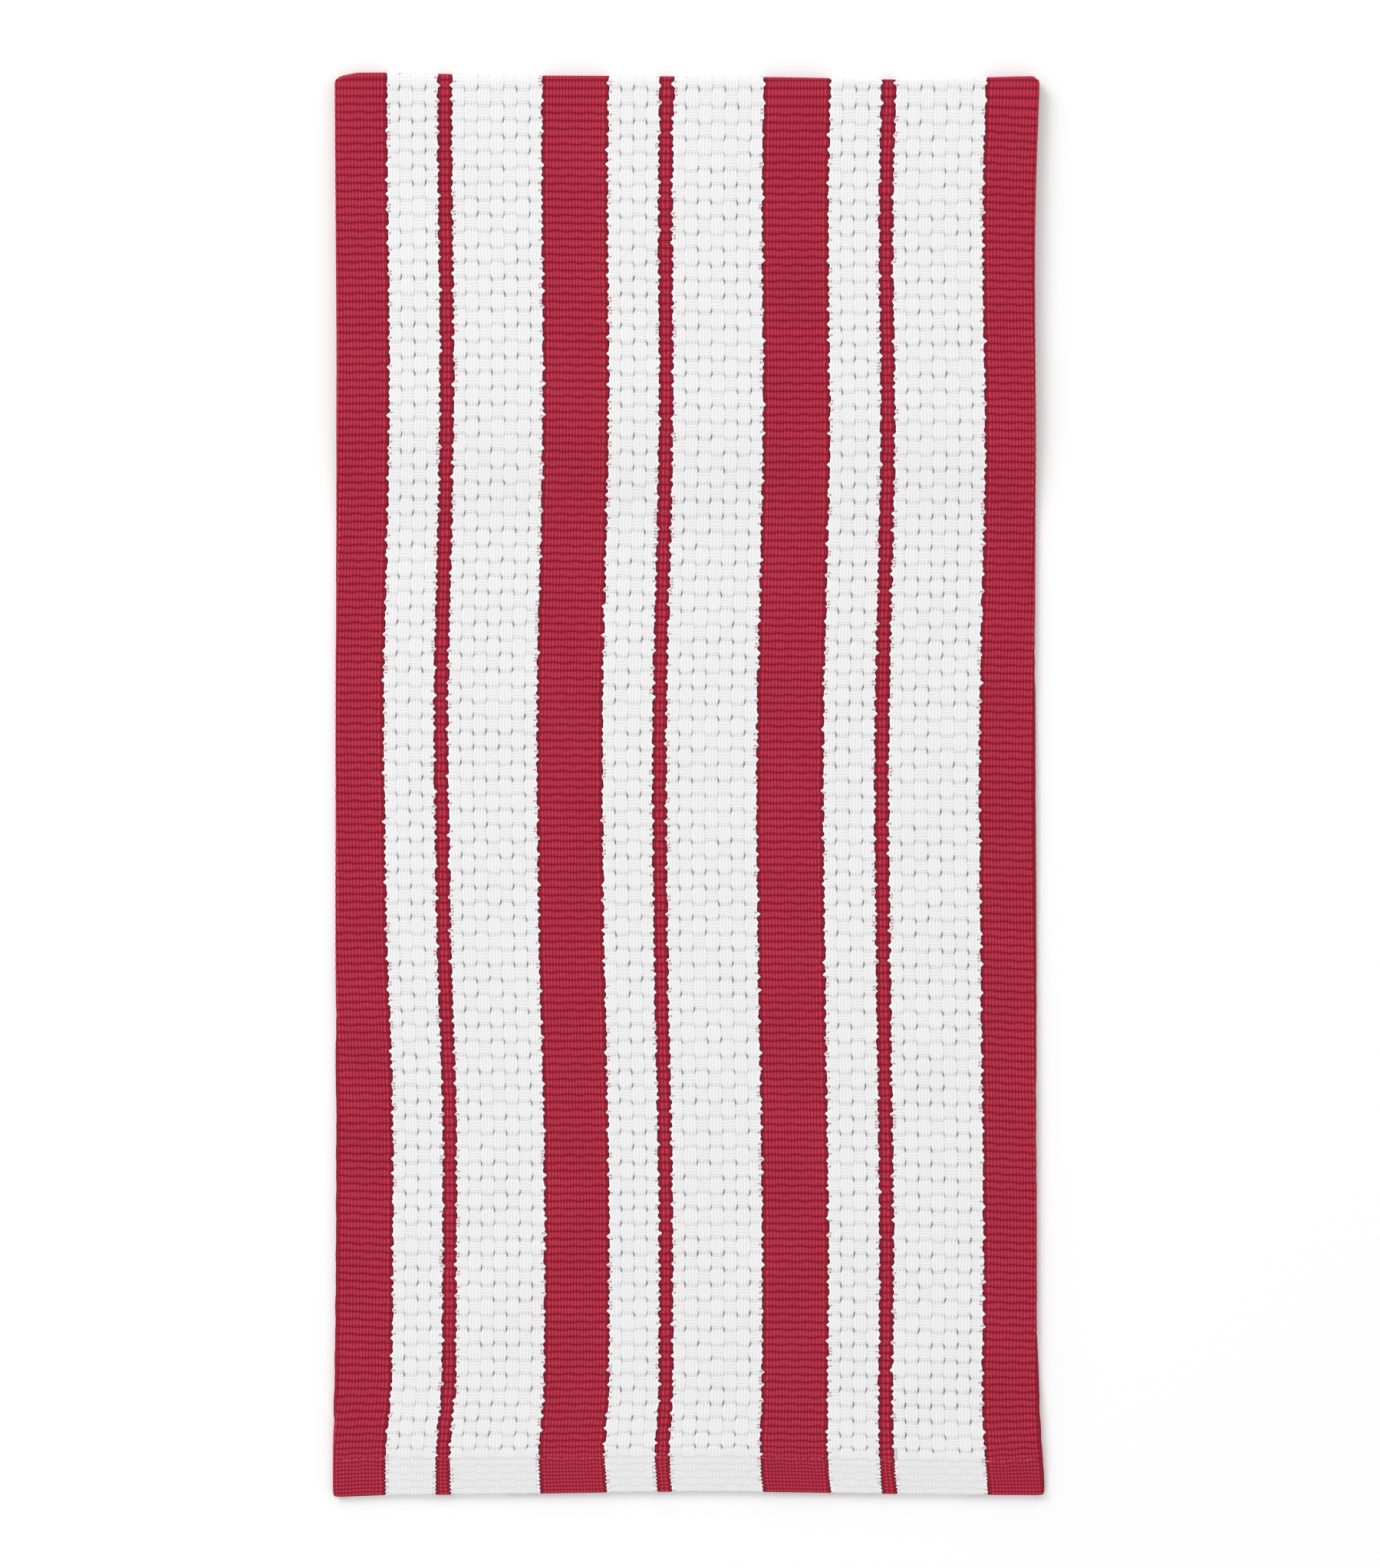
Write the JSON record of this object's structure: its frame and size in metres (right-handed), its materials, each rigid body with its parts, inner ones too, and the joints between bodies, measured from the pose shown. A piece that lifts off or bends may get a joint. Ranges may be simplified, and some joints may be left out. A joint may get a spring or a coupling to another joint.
{
  "type": "golf towel",
  "caption": "Woven cotton towel, white with red stripes, folded in at both sides and at the top, hemmed at both ends, with a top fold that opens.",
  "frame": {"origin": "middle of the folded towel on the surface it lies on", "axes": "X across the towel, to the right; Y along it, from the bottom hem to the top fold; Z out of the shown face"},
  "size_m": [0.2436, 0.4926, 0.0057],
  "materials": {
    "white_cotton": "undyed bleached cotton, basket weave, matt",
    "red_cotton": "dyed cotton, warp-faced ribs, matt",
    "sewing_thread": "spun sewing thread"
  },
  "bodies": {
    "front": {"wide_red_1_front": "red_cotton", "narrow_white_1_front": "white_cotton", "thin_red_1_front": "red_cotton", "wide_white_1_front": "white_cotton", "wide_red_2_front": "red_cotton", "narrow_white_2_front": "white_cotton", "thin_red_2_front": "red_cotton", "wide_white_2_front": "white_cotton", "wide_red_3_front": "red_cotton", "narrow_white_3_front": "white_cotton", "thin_red_3_front": "red_cotton", "wide_white_3_front": "white_cotton", "wide_red_4_front": "red_cotton", "narrow_white_4_front": "white_cotton", "thin_red_4_front": "red_cotton", "wide_white_4_front": "white_cotton", "wide_red_5_front": "red_cotton", "narrow_white_5_front": "white_cotton", "thin_red_5_front": "red_cotton", "wide_white_5_front": "white_cotton", "wide_red_6_front": "red_cotton", "top_fold_crease": "white_cotton", "bottom_hem_turn": "white_cotton", "bottom_hem_thread": "sewing_thread"},
    "top_flap": {"wide_red_1_flap": "red_cotton", "narrow_white_1_flap": "white_cotton", "thin_red_1_flap": "red_cotton", "wide_white_1_flap": "white_cotton", "wide_red_2_flap": "red_cotton", "narrow_white_2_flap": "white_cotton", "thin_red_2_flap": "red_cotton", "wide_white_2_flap": "white_cotton", "wide_red_3_flap": "red_cotton", "narrow_white_3_flap": "white_cotton", "thin_red_3_flap": "red_cotton", "wide_white_3_flap": "white_cotton", "wide_red_4_flap": "red_cotton", "narrow_white_4_flap": "white_cotton", "thin_red_4_flap": "red_cotton", "wide_white_4_flap": "white_cotton", "wide_red_5_flap": "red_cotton", "narrow_white_5_flap": "white_cotton", "thin_red_5_flap": "red_cotton", "wide_white_5_flap": "white_cotton", "wide_red_6_flap": "red_cotton", "top_hem_turn": "white_cotton", "top_hem_thread": "sewing_thread"}
  },
  "joints": [
    {"name": "top_fold", "type": "hinge", "parent": "front", "child": "top_flap", "pos_m": [0, 0.24346, 0.00285], "axis": [1, 0, 0], "range_deg": [0, 180], "deforming": ["top_fold_crease"]}
  ]
}
